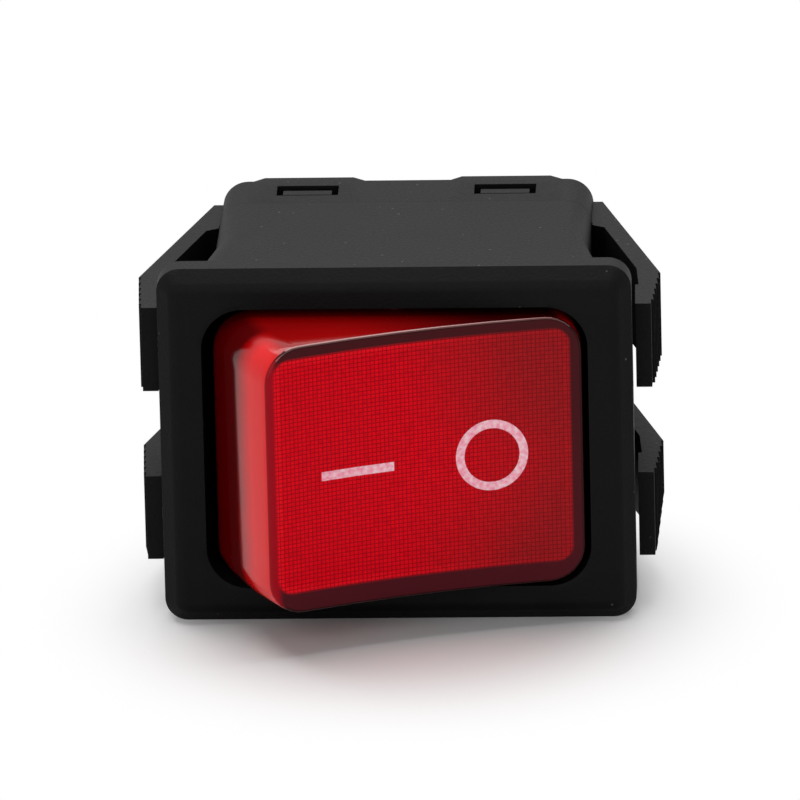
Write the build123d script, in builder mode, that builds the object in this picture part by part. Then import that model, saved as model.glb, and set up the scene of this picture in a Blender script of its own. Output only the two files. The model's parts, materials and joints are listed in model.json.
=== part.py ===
# Illuminated double pole rocker switch that snaps into a rectangular panel hole.
#
# The origin is the middle of the bezel's rear face, which seats on the panel.
# X runs along the bezel, Y goes back through the panel and Z is up. Lengths are in mm.
# Everything is drawn in the off position: the rocker's right-hand end is pressed in.
# Pole a is the upper one and pole b is the lower one.

import os
from math import cos, radians, sin, sqrt, tan

from build123d import *

os.makedirs("parts", exist_ok=True)

# Bezel
bezel_end_rim = 3.02
bezel_side_rim = 2.65
bezel_thickness = 2.75
bezel_bevel = 1.05
bezel_corner_radius = 1.6
opening_corner_radius = 2.9

# Body behind the panel: the housing up to the seam, then the base
body_length = 25.94
body_height = 21.6
body_corner_radius = 1.8
housing_depth = 18.45
base_depth = 4.85
flare_width = 1.35
flare_front = 4.5
flare_rear = 11.5
well_wall = 1.5
pocket_wall = 1.09
side_wall = 0.95

# Rocker, measured about the axis that it tilts on
rocker_axis_y = -0.25
rocker_tilt = 19.2
rocker_reach = 6.73
rocker_skirt = 2.3
rocker_end_draft = 1.1
rocker_end_bulge = 0.35
face_radius = 70.0
lens_corner_radius = 2.5
lens_wall = 1.0
lens_face_wall = 1.3
rocker_end_gap = 0.12
opening_side_gap = 0.5
cavity_side_gap = 0.25

# Trunnions that the rocker tilts on
trunnion_radius = 1.1
trunnion_length = 0.8
trunnion_clearance = 0.05

# Carrier inside the rocker
carrier_plate_front = 1.0
carrier_plate_thickness = 1.2
carrier_step_room = 1.2
carrier_ear_room = 1.0
carrier_fit = 0.05
plunger_tube_radius = 1.8
plunger_tube_end = 8.0
plunger_bore_bottom = 0.2
plunger_boss_front = -0.6

# Plungers and their springs
plunger_radius = 1.0
plunger_clearance = 0.05
plunger_tip_reach = 12.0
plunger_inner_end = 3.6
spring_wire = 0.3
spring_radius = 0.75
spring_turns = 4
spring_wire_sides = 4

# Contact levers, which rock on the tops of the common terminals
lever_tilt = 10.0
lever_thickness = 0.8
lever_width = 4.0
lever_crown = 0.95
lever_knee_margin = 0.15
lever_end = 1.4
lever_groove_clearance = 0.05
lever_tip_clearance = 0.10

# Contacts
contact_radius = 1.5
contact_head = 1.0
contact_offset = 0.9
contact_shank_radius = 0.7
contact_tail_radius = 0.9
contact_tail = 0.35
contact_shank_clearance = 0.03
contact_clearance = 0.04

# Terminals: quick-connect tabs
tab_thickness = 0.8
tab_width = 6.3
tab_length = 7.8
tab_chamfer = 0.9
tab_hole_radius = 0.85
tab_hole_from_end = 3.6
tab_clearance = 0.05
terminal_shoulder_width = 6.8
terminal_neck_width = 3.6
terminal_shoulder_length = 1.6
shelf_width = 5.2
shelf_gap = 0.47
load_column_margin = 3.47

# Base
base_wall = 1.2
base_back = 1.3
barrier_thickness = 1.0
barrier_front = 8.0
guide_height = 2.2
guide_thickness = 1.0
guide_length = 5.6
hump_foot_length = 7.8
hump_top_length = 6.2
hump_height = 0.25
hump_ramp = 3.2

# Latches that hold the base on the housing
latch_spacing = 13.8
latch_window_length = 4.3
latch_window_depth = 1.7
latch_window_rear = 1.8
latch_nub_length = 3.4
latch_nub_rise = 0.12
latch_ramp = 0.7
latch_thickness = 1.0
latch_clearance = 0.05
latch_root = 2.25

# Snap arms, moulded in one with the base
arm_inner_height = 3.1
arm_edge_room = 1.65
arm_root_reach = 0.65
arm_root_rear = 0.2
arm_root_inner = 0.9
arm_inner_bend = 1.05
arm_standoff = 5.06
arm_thickness = 1.7
arm_kink_y = 7.3
arm_inner_y = 8.4
arm_step_y = 4.85
arm_step = 0.25
arm_tip_taper = 0.1
arm_tip_inset = 0.33
arm_tip_y = 0.7
arm_tooth_pitch = 1.14
arm_tooth_depth = 0.18
arm_tooth_count = 5
arm_lower_taper = 0.12
arm_lower_taper_height = 2.3

# Indicator lamp and what feeds it
bulb_radius = 2.2
bulb_end_room = 3.3
bulb_pinch = 0.66
cradle_thickness = 1.2
cradle_inset = 1.9
cradle_front = -0.7
lead_radius = 0.22
lead_spacing = 1.6
lead_bend = 0.8
lead_clearance = 0.01
lead_sides = 6
resistor_radius = 0.9
resistor_start = 2.4
resistor_tail = 1.5
resistor_edge = 0.3
strip_thickness = 0.3
strip_width = 2.2
strip_front = -1.5
strip_rear = 3.4
strip_end_margin = 2.55
ear_thickness = 0.8
blade_thickness = 0.3
blade_width = 2.0
blade_end = -1.5
blade_gap = 0.05
blade_foot_gap = 0.05

# How far a cutting shape reaches past what it cuts
cut_margin = 2.0

# Worked out from the sizes above
opening_length = body_length + 2 * (flare_width - pocket_wall)
rocker_end_radius = opening_length / 2 - rocker_end_gap
cavity_height = body_height - 2 * side_wall
rocker_height = cavity_height - 2 * cavity_side_gap
opening_height = rocker_height + 2 * opening_side_gap
bezel_length = opening_length + 2 * bezel_end_rim
bezel_height = opening_height + 2 * bezel_side_rim
well_length = body_length - 2 * well_wall
lens_face_half = sqrt(rocker_end_radius**2 - rocker_reach**2)
lens_skirt_half = lens_face_half + rocker_end_draft
lens_inner_height = rocker_height - 2 * lens_wall
carrier_ear_height = lens_inner_height - 2 * carrier_ear_room
body_rear = housing_depth + base_depth
base_floor = body_rear - base_back
base_inner_height = body_height - 2 * base_wall

# Each pole has its terminals in the middle of its half of the base
pole_z = (base_inner_height + barrier_thickness) / 4
poles = (("a", pole_z), ("b", -pole_z))
common_column = 0.0
load_column = well_length / 2 - load_column_margin
contact_reach = load_column + contact_offset
lever_length = contact_reach + lever_end
shelf_end = well_length / 2 - shelf_gap

# Snap arms
arm_kink_reach = body_length / 2 + arm_standoff
arm_inner_reach = arm_kink_reach - arm_thickness
arm_tip_inner = arm_inner_reach + arm_tip_taper
arm_tip_outer = arm_kink_reach - arm_tip_inset
arm_width = body_height / 2 - arm_edge_room - arm_inner_height

# The rocker's own plane: local x along its face, local y back, tilted by the off position
tilt = radians(rocker_tilt)
rocker_plane = Plane(
    origin=(0, rocker_axis_y, 0), x_dir=(cos(tilt), sin(tilt), 0), z_dir=(0, 0, 1)
)


def rocker_point(x, y, z=0.0):
    """A point given along the rocker's own plane, as a place in the switch."""
    return rocker_plane.from_local_coords(Vector(x, y, z))


def rocker_axial_plane(y, z):
    """A plane across the rocker's own y direction, for round pieces that lie along it."""
    return Plane(
        origin=rocker_point(0, y, z), x_dir=rocker_plane.x_dir, z_dir=rocker_plane.y_dir
    )


def rocker_cross_plane(x):
    """A plane across the rocker's own x direction; its sketches are in local y and z."""
    return Plane(
        origin=rocker_point(x, 0), x_dir=rocker_plane.y_dir, z_dir=rocker_plane.x_dir
    )


def save(piece, name):
    """Labels a finished piece and writes it to its own file."""
    piece.part.label = name
    export_step(piece.part, f"parts/{name}.step")
    print(name, round(piece.part.volume, 2))


# The lever's rocking centre lies behind the plunger's tip at mid travel
lever_axis_y = (
    rocker_axis_y + plunger_tip_reach + plunger_radius + lever_tip_clearance + lever_crown
)

# The lever is level halfway through its travel, so at rest it is turned back by its tilt
lean = radians(-lever_tilt)
lever_plane = Plane(
    origin=(0, lever_axis_y, 0), x_dir=(cos(lean), sin(lean), 0), z_dir=(0, 0, 1)
)

# Seen from the lever, the plunger's tip runs along an arc, and the lever's saddle follows it
tip_at_rest = lever_plane.to_local_coords(rocker_point(0, plunger_tip_reach))
tip_rise = rocker_axis_y + plunger_tip_reach - lever_axis_y - tip_at_rest.Y
tip_arc_radius = (tip_at_rest.X**2 + tip_rise**2) / (2 * tip_rise)
saddle_radius = tip_arc_radius + plunger_radius + lever_tip_clearance
lever_knee = abs(tip_at_rest.X) * saddle_radius / tip_arc_radius + lever_knee_margin
lever_knee_front = saddle_radius - sqrt(saddle_radius**2 - lever_knee**2)
arm_slope = tan(radians(lever_tilt))


def lever_front(x):
    """The lever's front surface beyond its knee, in the lever's own plane."""
    return -lever_crown - lever_knee_front - (x - lever_knee) * arm_slope


# Where the moving contact's face lies when the switch is on, which sets the fixed contact
contact_face = (
    contact_reach * sin(radians(lever_tilt))
    + lever_front(contact_reach) * cos(radians(lever_tilt))
    + lever_thickness
    + contact_head
)
fixed_contact_front = lever_axis_y + contact_face + contact_clearance
shelf_front = fixed_contact_front + contact_head
shelf_rear = shelf_front + tab_thickness
fixed_contact_x = (
    contact_reach * cos(radians(lever_tilt))
    - lever_front(contact_reach) * sin(radians(lever_tilt))
)

# The lamp's leads run across the front of the two contact strips
bulb_axis = strip_front - strip_thickness - lead_radius - lead_clearance
strip_x = lens_skirt_half - lens_wall - strip_end_margin
carrier_middle_length = 2 * (strip_x - strip_width / 2 - carrier_step_room)
bulb_length = 2 * (strip_x - bulb_end_room)
cradle_offset = bulb_length / 2 - cradle_inset
strip_outer = carrier_ear_height / 2 + strip_thickness
lead_outlet = lead_spacing / 2
resistor_end = strip_outer - resistor_tail
blade_inner = strip_outer + blade_gap
blade_outer = blade_inner + blade_thickness
blade_foot = pole_z + contact_radius + blade_foot_gap


# Housing: bezel and front body in one moulding, with the rocker's cavity
with BuildPart() as housing:
    half_body = body_length / 2
    half_flare = half_body + flare_width
    with BuildSketch():
        with BuildLine():
            Polyline(
                (-half_flare, 0),
                (half_flare, 0),
                (half_flare, flare_front),
                (half_body, flare_rear),
                (half_body, housing_depth),
                (-half_body, housing_depth),
                (-half_body, flare_rear),
                (-half_flare, flare_front),
                close=True,
            )
        make_face()
    extrude(amount=body_height / 2, both=True)
    flat_sides = housing.faces().filter_by(Axis.Z)
    side_edges = flat_sides.edges().filter_by(Axis.X, reverse=True)
    fillet(side_edges, radius=body_corner_radius)

    with BuildSketch(Plane.XZ):
        RectangleRounded(bezel_length, bezel_height, bezel_corner_radius)
    extrude(amount=bezel_thickness)
    chamfer(housing.faces().sort_by(Axis.Y)[0].edges(), length=bezel_bevel)

    # Rounded opening, from the bezel's front to the rocker's axis
    with BuildSketch(Plane.XZ.offset(bezel_thickness)):
        RectangleRounded(opening_length, opening_height, opening_corner_radius)
    extrude(amount=-(bezel_thickness + rocker_axis_y), mode=Mode.SUBTRACT)

    # Round-ended pocket that the rocker's ends swing down into
    with BuildSketch():
        with Locations((0, rocker_axis_y)):
            Circle(opening_length / 2)
        with Locations((0, rocker_axis_y)):
            Rectangle(
                opening_length + cut_margin,
                opening_length,
                align=(Align.CENTER, Align.MIN),
                mode=Mode.INTERSECT,
            )
        Rectangle(well_length, housing_depth, align=(Align.CENTER, Align.MIN))
    extrude(amount=cavity_height / 2, both=True, mode=Mode.SUBTRACT)

    # Blind bearings for the rocker's trunnions
    bearing_reach = rocker_height / 2 + trunnion_length + trunnion_clearance
    with BuildSketch():
        with Locations((0, rocker_axis_y)):
            Circle(trunnion_radius + trunnion_clearance)
    extrude(amount=bearing_reach, both=True, mode=Mode.SUBTRACT)

    # Four latches that reach into the base, each with a ramped nub
    latch_outer = base_inner_height / 2 - latch_clearance
    latch_inner = latch_outer - latch_thickness
    latch_front = housing_depth - latch_root
    latch_rear = base_floor - latch_clearance
    window_rear = body_rear - latch_window_rear
    window_front = window_rear - latch_window_depth
    nub_top = body_height / 2 + latch_nub_rise
    for x in (-latch_spacing / 2, latch_spacing / 2):
        for side in (-1, 1):
            with BuildSketch(Plane.YZ.offset(x)):
                with BuildLine():
                    Polyline(
                        (latch_front, side * latch_inner),
                        (latch_front, side * (cavity_height / 2 + latch_clearance)),
                        (housing_depth, side * (cavity_height / 2 + latch_clearance)),
                        (housing_depth, side * latch_outer),
                        (window_front + latch_clearance, side * latch_outer),
                        (window_front + latch_clearance, side * nub_top),
                        (window_rear - latch_clearance - latch_ramp, side * nub_top),
                        (window_rear - latch_clearance, side * latch_outer),
                        (latch_rear, side * latch_outer),
                        (latch_rear, side * latch_inner),
                        close=True,
                    )
                make_face()
            extrude(amount=latch_nub_length / 2, both=True)
save(housing, "housing")


# Base: rear cap with latch windows, terminal slots, a barrier between the poles and four arms
def arm_profile(side):
    """One snap arm seen from above; side is 1 for the right-hand end and -1 for the left."""
    root_rear = body_rear - arm_root_rear
    half = body_length / 2
    # A tooth has a long flank that rises towards the panel and a short one that grips it
    points = [
        (half - base_wall / 2, root_rear),
        (half + arm_root_reach, root_rear),
        (arm_kink_reach, arm_kink_y),
    ]
    tooth_drop = (arm_kink_reach - arm_tip_outer) / arm_tooth_count
    for number in range(arm_tooth_count):
        y = arm_kink_y - number * arm_tooth_pitch
        reach = arm_kink_reach - number * tooth_drop
        points.append((reach - arm_tooth_depth, y))
        points.append((reach - tooth_drop, y - arm_tooth_pitch))
    points += [
        (arm_tip_outer - arm_tooth_depth, arm_kink_y - arm_tooth_count * arm_tooth_pitch),
        (arm_tip_outer - arm_tooth_depth, arm_tip_y),
        (arm_tip_inner, arm_tip_y),
        (arm_inner_reach, arm_step_y),
        (arm_inner_reach + arm_step, arm_step_y),
        (arm_inner_reach, arm_inner_y),
        (half + arm_root_inner, housing_depth - arm_inner_bend),
        (half + latch_clearance, housing_depth - arm_inner_bend / 2),
        (half + latch_clearance, housing_depth),
        (half - base_wall / 2, housing_depth),
    ]
    return [(side * x, y) for x, y in points]


with BuildPart() as base:
    with BuildSketch(Plane.XZ.offset(-housing_depth)):
        RectangleRounded(body_length, body_height, body_corner_radius)
    extrude(amount=-base_depth)

    # Low humps over the latch windows, ramped up from the seam
    with BuildSketch(Plane.XZ.offset(-housing_depth)):
        hump_top = body_height / 2 + hump_height
        for x in (-latch_spacing / 2, latch_spacing / 2):
            with BuildLine():
                Polyline(
                    (x - hump_foot_length / 2, body_height / 2),
                    (x - hump_top_length / 2, hump_top),
                    (x + hump_top_length / 2, hump_top),
                    (x + hump_foot_length / 2, body_height / 2),
                    (x + hump_foot_length / 2, -body_height / 2),
                    (x + hump_top_length / 2, -hump_top),
                    (x - hump_top_length / 2, -hump_top),
                    (x - hump_foot_length / 2, -body_height / 2),
                    close=True,
                )
            make_face()
    extrude(amount=-base_depth)
    for side in (-1, 1):
        with BuildSketch(Plane.YZ):
            with BuildLine():
                Polyline(
                    (housing_depth, side * body_height / 2),
                    (housing_depth + hump_ramp, side * hump_top),
                    (housing_depth, side * hump_top),
                    close=True,
                )
            make_face()
        extrude(amount=body_length / 2, both=True, mode=Mode.SUBTRACT)

    with BuildSketch(Plane.XZ.offset(-housing_depth)):
        Rectangle(body_length - 2 * base_wall, base_inner_height)
    extrude(amount=-(base_depth - base_back), mode=Mode.SUBTRACT)

    # Windows that the housing's latches snap into
    with BuildSketch(Plane.XZ.offset(-window_front)):
        with GridLocations(latch_spacing, 0, 2, 1):
            Rectangle(latch_window_length, body_height + cut_margin)
        Rectangle(body_length, 2 * latch_inner, mode=Mode.SUBTRACT)
    extrude(amount=-latch_window_depth, mode=Mode.SUBTRACT)

    # Barrier between the poles
    with BuildSketch(Plane.XZ.offset(-barrier_front)):
        Rectangle(well_length - 2 * latch_clearance, barrier_thickness)
    extrude(amount=-(base_floor - barrier_front))

    # Ribs that hold each terminal column, and the slots that the tabs leave through
    rib_offset = tab_thickness / 2 + tab_clearance + guide_thickness / 2
    with BuildSketch(Plane.XZ.offset(-base_floor)):
        with GridLocations(load_column, 2 * pole_z, 3, 2):
            with GridLocations(2 * rib_offset, 0, 2, 1):
                Rectangle(guide_thickness, guide_length)
    extrude(amount=guide_height)
    with BuildSketch(Plane.XZ.offset(-base_floor)):
        with GridLocations(load_column, 2 * pole_z, 3, 2):
            Rectangle(tab_thickness + 2 * tab_clearance, tab_width + 2 * tab_clearance)
    extrude(amount=-base_back, mode=Mode.SUBTRACT)

    # Four snap arms; the lower pair is tapered at its outer corner
    for side in (-1, 1):
        for low in (arm_inner_height, -arm_inner_height - arm_width):
            with BuildSketch(Plane.XY.offset(low)):
                with BuildLine():
                    Polyline(*arm_profile(side), close=True)
                make_face()
            extrude(amount=arm_width)
        arm_bottom = -arm_inner_height - arm_width
        taper_foot = arm_tip_outer - arm_lower_taper
        taper_top = arm_bottom + arm_lower_taper_height
        with BuildSketch(Plane.XZ.offset(-arm_tip_y)):
            with BuildLine():
                Polyline(
                    (side * taper_foot, arm_bottom - cut_margin),
                    (side * taper_foot, arm_bottom),
                    (side * arm_kink_reach, taper_top),
                    (side * (arm_kink_reach + cut_margin), taper_top),
                    (side * (arm_kink_reach + cut_margin), arm_bottom - cut_margin),
                    close=True,
                )
            make_face()
        extrude(amount=-(body_rear - arm_tip_y), mode=Mode.SUBTRACT)
save(base, "base")


# Rocker lens: hollow translucent cap with a dished face, curved ends and two trunnions
def rocker_outline(face_half, face_y, dish_radius, skirt_half):
    """Draws the closed outline of the rocker's cap, seen along the tilting axis."""
    sag = dish_radius - sqrt(dish_radius**2 - face_half**2)
    middle_x = (face_half + skirt_half) / 2 + rocker_end_bulge
    middle_y = (rocker_skirt - face_y) / 2
    ThreePointArc((-skirt_half, rocker_skirt), (-middle_x, middle_y), (-face_half, -face_y))
    ThreePointArc((-face_half, -face_y), (0, -face_y + sag), (face_half, -face_y))
    ThreePointArc((face_half, -face_y), (middle_x, middle_y), (skirt_half, rocker_skirt))
    Line((skirt_half, rocker_skirt), (-skirt_half, rocker_skirt))


with BuildPart() as rocker_lens:
    with BuildSketch(rocker_plane):
        with BuildLine():
            rocker_outline(lens_face_half, rocker_reach, face_radius, lens_skirt_half)
        make_face()
    extrude(amount=rocker_height / 2, both=True)
    end_faces = rocker_lens.faces().filter_by(GeomType.CYLINDER).sort_by(SortBy.AREA)[:2]
    fillet(end_faces.edges().filter_by(GeomType.CIRCLE), radius=lens_corner_radius)
    with BuildSketch(rocker_plane):
        with BuildLine():
            rocker_outline(
                lens_face_half - lens_wall,
                rocker_reach - lens_face_wall,
                face_radius + lens_face_wall,
                lens_skirt_half - lens_wall,
            )
        make_face()
    extrude(amount=lens_inner_height / 2, both=True, mode=Mode.SUBTRACT)
    trunnion_root = lens_inner_height / 2 + lens_wall / 2
    trunnion_end = rocker_height / 2 + trunnion_length
    for side in (-1, 1):
        with BuildSketch(rocker_plane.offset(side * trunnion_root)):
            Circle(trunnion_radius)
        extrude(amount=side * (trunnion_end - trunnion_root))
save(rocker_lens, "rocker_lens")


# Rocker carrier: closes the lens from behind and holds the plungers, the lamp and its strips
with BuildPart() as rocker_carrier:
    plate_half = lens_skirt_half - lens_wall - carrier_fit
    with BuildSketch(rocker_axial_plane(carrier_plate_front, 0)):
        Rectangle(carrier_middle_length, lens_inner_height - 2 * carrier_fit)
        Rectangle(2 * plate_half, carrier_ear_height)
    extrude(amount=carrier_plate_thickness)

    # Two cradles for the bulb
    with BuildSketch(rocker_axial_plane(cradle_front, 0)):
        with GridLocations(2 * cradle_offset, 0, 2, 1):
            Rectangle(cradle_thickness, 2 * bulb_radius + cradle_thickness)
    extrude(amount=carrier_plate_front - cradle_front)
    with BuildSketch(rocker_cross_plane(0)):
        with Locations((bulb_axis, 0)):
            Circle(bulb_radius + carrier_fit)
    extrude(amount=bulb_length / 2, both=True, mode=Mode.SUBTRACT)

    # Tubes that the plungers slide in
    for name, z in poles:
        with BuildSketch(rocker_axial_plane(plunger_boss_front, z)):
            Circle(plunger_tube_radius)
        extrude(amount=plunger_tube_end - plunger_boss_front)
    for name, z in poles:
        with BuildSketch(rocker_axial_plane(plunger_bore_bottom, z)):
            Circle(plunger_radius + plunger_clearance)
        extrude(amount=plunger_tube_end - plunger_bore_bottom, mode=Mode.SUBTRACT)

    # Ears that carry the lamp's contact strips
    with BuildSketch(rocker_axial_plane(strip_front, 0)):
        with Locations((strip_x, 0)):
            Rectangle(strip_width, carrier_ear_height)
            Rectangle(strip_width, carrier_ear_height - 2 * ear_thickness, mode=Mode.SUBTRACT)
    extrude(amount=strip_rear - strip_front)
save(rocker_carrier, "rocker_carrier")


# Indicator bulb, with a domed end and a pinched end
with BuildPart() as lamp_bulb:
    half_bulb = bulb_length / 2
    with BuildSketch(rocker_plane):
        with BuildLine():
            dome_top = (-half_bulb + bulb_radius, bulb_axis - bulb_radius)
            RadiusArc((-half_bulb, bulb_axis), dome_top, bulb_radius)
            Line(dome_top, (half_bulb - bulb_pinch, bulb_axis - bulb_radius))
            Line(
                (half_bulb - bulb_pinch, bulb_axis - bulb_radius),
                (half_bulb, bulb_axis - bulb_radius + bulb_pinch),
            )
            Line((half_bulb, bulb_axis - bulb_radius + bulb_pinch), (half_bulb, bulb_axis))
            Line((half_bulb, bulb_axis), (-half_bulb, bulb_axis))
        make_face()
    bulb_line = Axis(rocker_point(0, bulb_axis), rocker_plane.x_dir)
    revolve(axis=bulb_line)
save(lamp_bulb, "lamp_bulb")

with BuildPart() as lamp_resistor:
    with BuildSketch(rocker_plane.offset(-resistor_start)):
        with Locations((strip_x, bulb_axis)):
            Circle(resistor_radius)
    extrude(amount=-(resistor_end - resistor_start))
    chamfer(lamp_resistor.edges().filter_by(GeomType.CIRCLE), length=resistor_edge)
save(lamp_resistor, "lamp_resistor")


def bent_lead(z_start, z_end):
    """The route of a lead that leaves the bulb's end and turns along the rocker's width."""
    FilletPolyline(
        rocker_point(bulb_length / 2, bulb_axis, z_start),
        rocker_point(strip_x, bulb_axis, z_start),
        rocker_point(strip_x, bulb_axis, z_end),
        radius=lead_bend,
    )


for name, z_start, z_end in (
    ("lamp_lead_a", lead_outlet, strip_outer),
    ("lamp_lead_b", -lead_outlet, -resistor_start),
):
    with BuildPart() as lead:
        with BuildLine() as route:
            bent_lead(z_start, z_end)
        with BuildSketch(Plane(origin=route.line @ 0, z_dir=route.line % 0)):
            RegularPolygon(lead_radius, lead_sides)
        sweep()
    save(lead, name)

with BuildPart() as lamp_lead_c:
    with BuildSketch(rocker_plane.offset(-resistor_end)):
        with Locations((strip_x, bulb_axis)):
            RegularPolygon(lead_radius, lead_sides)
    extrude(amount=-(strip_outer - resistor_end))
save(lamp_lead_c, "lamp_lead_c")


# Contact strips hooked over the carrier's ears, and the springs that wipe on them
for name, side in (("a", 1), ("b", -1)):
    with BuildPart() as lamp_strip:
        ear = side * carrier_ear_height / 2
        outer = side * strip_outer
        hook = side * (carrier_ear_height / 2 - ear_thickness)
        with BuildSketch(rocker_cross_plane(strip_x)):
            with BuildLine():
                Polyline(
                    (strip_front - strip_thickness, hook),
                    (strip_front - strip_thickness, outer),
                    (strip_rear, outer),
                    (strip_rear, ear),
                    (strip_front, ear),
                    (strip_front, hook),
                    close=True,
                )
            make_face()
        extrude(amount=strip_width / 2, both=True)
    save(lamp_strip, f"lamp_strip_{name}")

    with BuildPart() as lamp_spring:
        inner = side * blade_inner
        outer = side * blade_outer
        foot = side * blade_foot
        with BuildSketch(Plane.YZ.offset(strip_x)):
            with BuildLine():
                Polyline(
                    (blade_end, inner),
                    (blade_end, outer),
                    (shelf_front, outer),
                    (shelf_front, foot),
                    (shelf_front - blade_thickness, foot),
                    (shelf_front - blade_thickness, inner),
                    close=True,
                )
            make_face()
        extrude(amount=blade_width / 2, both=True)
    save(lamp_spring, f"lamp_spring_{name}")


# What each pole has: plunger and spring, lever with its contact, terminals, fixed contact
def rivet(plane, grip, head, shank, head_radius, tail_radius, tail):
    """A contact rivet: its head ends at grip, its shank and tail lie the other way."""
    for start, length, radius in (
        (grip, head, head_radius),
        (0, grip, shank),
        (-tail, tail, tail_radius),
    ):
        with BuildSketch(plane.offset(start)) as section:
            Circle(radius)
        extrude(section.sketch, amount=length)


for name, z in poles:
    with BuildPart() as plunger:
        with BuildSketch(rocker_plane.offset(z)):
            with BuildLine():
                tip = plunger_tip_reach + plunger_radius
                Polyline(
                    (0, tip),
                    (0, plunger_inner_end),
                    (plunger_radius, plunger_inner_end),
                    (plunger_radius, plunger_tip_reach),
                )
                RadiusArc((plunger_radius, plunger_tip_reach), (0, tip), -plunger_radius)
            make_face()
        revolve(axis=Axis(rocker_point(0, 0, z), rocker_plane.y_dir))
    save(plunger, f"plunger_{name}")

    with BuildPart() as plunger_spring:
        spring_length = plunger_inner_end - plunger_bore_bottom - spring_wire
        with BuildLine() as coil:
            Helix(
                spring_length / spring_turns,
                spring_length,
                spring_radius,
                center=rocker_point(0, plunger_bore_bottom + spring_wire / 2, z),
                direction=rocker_plane.y_dir,
            )
        with BuildSketch(Plane(origin=coil.line @ 0, z_dir=coil.line % 0)):
            RegularPolygon(spring_wire / 2, spring_wire_sides)
        sweep()
    save(plunger_spring, f"plunger_spring_{name}")

    # The rivet's seat on the lever's front surface, square to the lever's contact arm
    arm_angle = radians(lever_tilt)
    arm_normal = lever_plane.x_dir * sin(arm_angle) + lever_plane.y_dir * cos(arm_angle)
    rivet_seat = Plane(
        origin=lever_plane.from_local_coords(
            Vector(contact_reach, lever_front(contact_reach), z)
        ),
        x_dir=(0, 0, 1),
        z_dir=arm_normal,
    )

    with BuildPart() as contact_lever:
        with BuildSketch(lever_plane.offset(z)):
            with BuildLine():
                knee_y = lever_front(lever_knee)
                ThreePointArc((-lever_knee, knee_y), (0, -lever_crown), (lever_knee, knee_y))
                Line((lever_knee, knee_y), (lever_length, lever_front(lever_length)))
                offset(amount=lever_thickness, side=Side.LEFT, kind=Kind.INTERSECTION)
            make_face()
            Circle(tab_thickness / 2 + lever_groove_clearance, mode=Mode.SUBTRACT)
        extrude(amount=lever_width / 2, both=True)
        with BuildSketch(rivet_seat):
            Circle(contact_shank_radius + contact_shank_clearance)
        extrude(amount=lever_thickness, both=True, mode=Mode.SUBTRACT)
    save(contact_lever, f"contact_lever_{name}")

    with BuildPart() as moving_contact:
        rivet(
            rivet_seat,
            lever_thickness,
            contact_head,
            contact_shank_radius,
            contact_radius,
            contact_tail_radius,
            contact_tail,
        )
    save(moving_contact, f"moving_contact_{name}")

    with BuildPart() as fixed_contact:
        rivet(
            Plane(origin=(fixed_contact_x, shelf_rear, z), x_dir=(1, 0, 0), z_dir=(0, -1, 0)),
            tab_thickness,
            contact_head,
            contact_shank_radius,
            contact_radius,
            contact_tail_radius,
            contact_tail,
        )
    save(fixed_contact, f"fixed_contact_{name}")


def blade_terminal(column, z, top):
    """A quick-connect terminal up to its neck: tab, shoulders on the base's floor, neck."""
    tab_end = body_rear + tab_length
    with BuildSketch(Plane.YZ.offset(column)) as blade:
        with Locations((base_floor, z)):
            Rectangle(tab_end - base_floor, tab_width, align=(Align.MIN, Align.CENTER))
        end_corners = vertices().group_by(Axis.X)[-1]
        chamfer(end_corners, length=tab_chamfer)
        with Locations((base_floor, z)):
            Rectangle(
                terminal_shoulder_length,
                terminal_shoulder_width,
                align=(Align.MAX, Align.CENTER),
            )
            Rectangle(
                base_floor - top, terminal_neck_width, align=(Align.MAX, Align.CENTER)
            )
        with Locations((tab_end - tab_hole_from_end, z)):
            Circle(tab_hole_radius, mode=Mode.SUBTRACT)
    extrude(blade.sketch, amount=tab_thickness / 2, both=True)


for name, z in poles:
    with BuildPart() as common_terminal:
        blade_terminal(common_column, z, lever_axis_y)
        with BuildSketch(Plane.XY.offset(z)):
            with Locations((common_column, lever_axis_y)):
                Circle(tab_thickness / 2)
        extrude(amount=terminal_neck_width / 2, both=True)
    save(common_terminal, f"common_terminal_{name}")

    with BuildPart() as load_terminal:
        blade_terminal(load_column, z, shelf_rear)
        with BuildSketch(Plane.XY.offset(z)):
            with BuildLine():
                post = load_column - tab_thickness / 2
                Polyline(
                    (post, shelf_front),
                    (shelf_end, shelf_front),
                    (shelf_end, shelf_rear),
                    (post, shelf_rear),
                    close=True,
                )
            make_face()
        extrude(amount=shelf_width / 2, both=True)
        with BuildSketch(Plane.XZ.offset(-shelf_rear)):
            with Locations((fixed_contact_x, z)):
                Circle(contact_shank_radius + contact_shank_clearance)
        extrude(amount=tab_thickness, mode=Mode.SUBTRACT)
    save(load_terminal, f"load_terminal_{name}")
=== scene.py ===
import json
import math

import bpy
from mathutils import Matrix, Vector

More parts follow.
